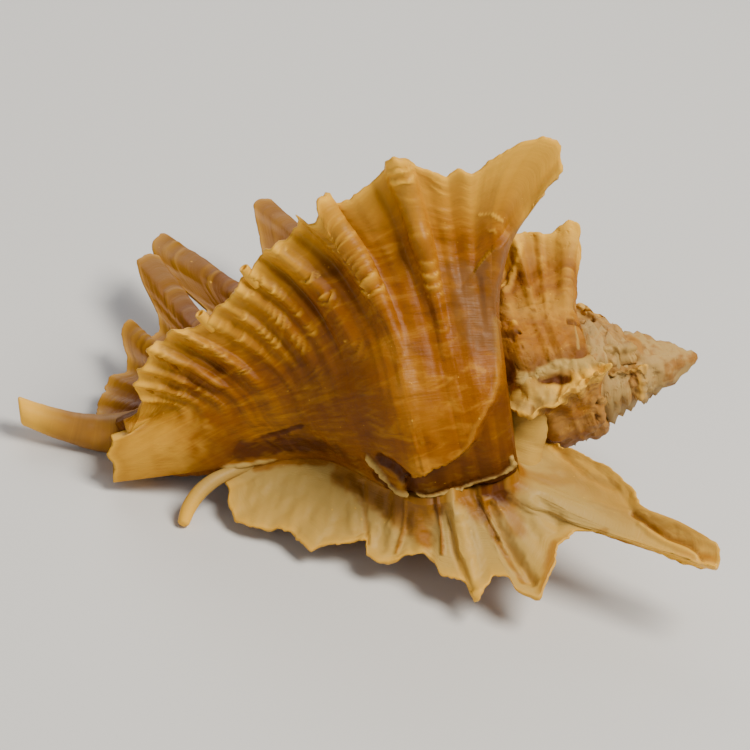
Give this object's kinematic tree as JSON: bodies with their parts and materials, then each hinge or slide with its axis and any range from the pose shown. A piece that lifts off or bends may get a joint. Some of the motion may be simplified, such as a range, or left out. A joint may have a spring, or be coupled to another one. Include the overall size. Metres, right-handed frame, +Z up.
{
  "type": "burnetts murex shell",
  "caption": "Dextral spiny sea snail shell with fan-shaped wing varices, a tall spire, an oval aperture and a long closed siphonal canal, lying aperture down.",
  "frame": {"origin": "centre of the bounding box in x and y, on the surface the shell lies on", "axes": "+X along the shell's axis toward the apex of the spire as it lies, +Z up, -Y toward the side that the picture shows"},
  "size_m": [0.1052, 0.09, 0.0658],
  "materials": {
    "shell": "satin calcium carbonate shell, orange-brown outside, pale cream on the wing fronts and in the aperture"
  },
  "bodies": {
    "root": {"shell": "shell"}
  },
  "joints": []
}
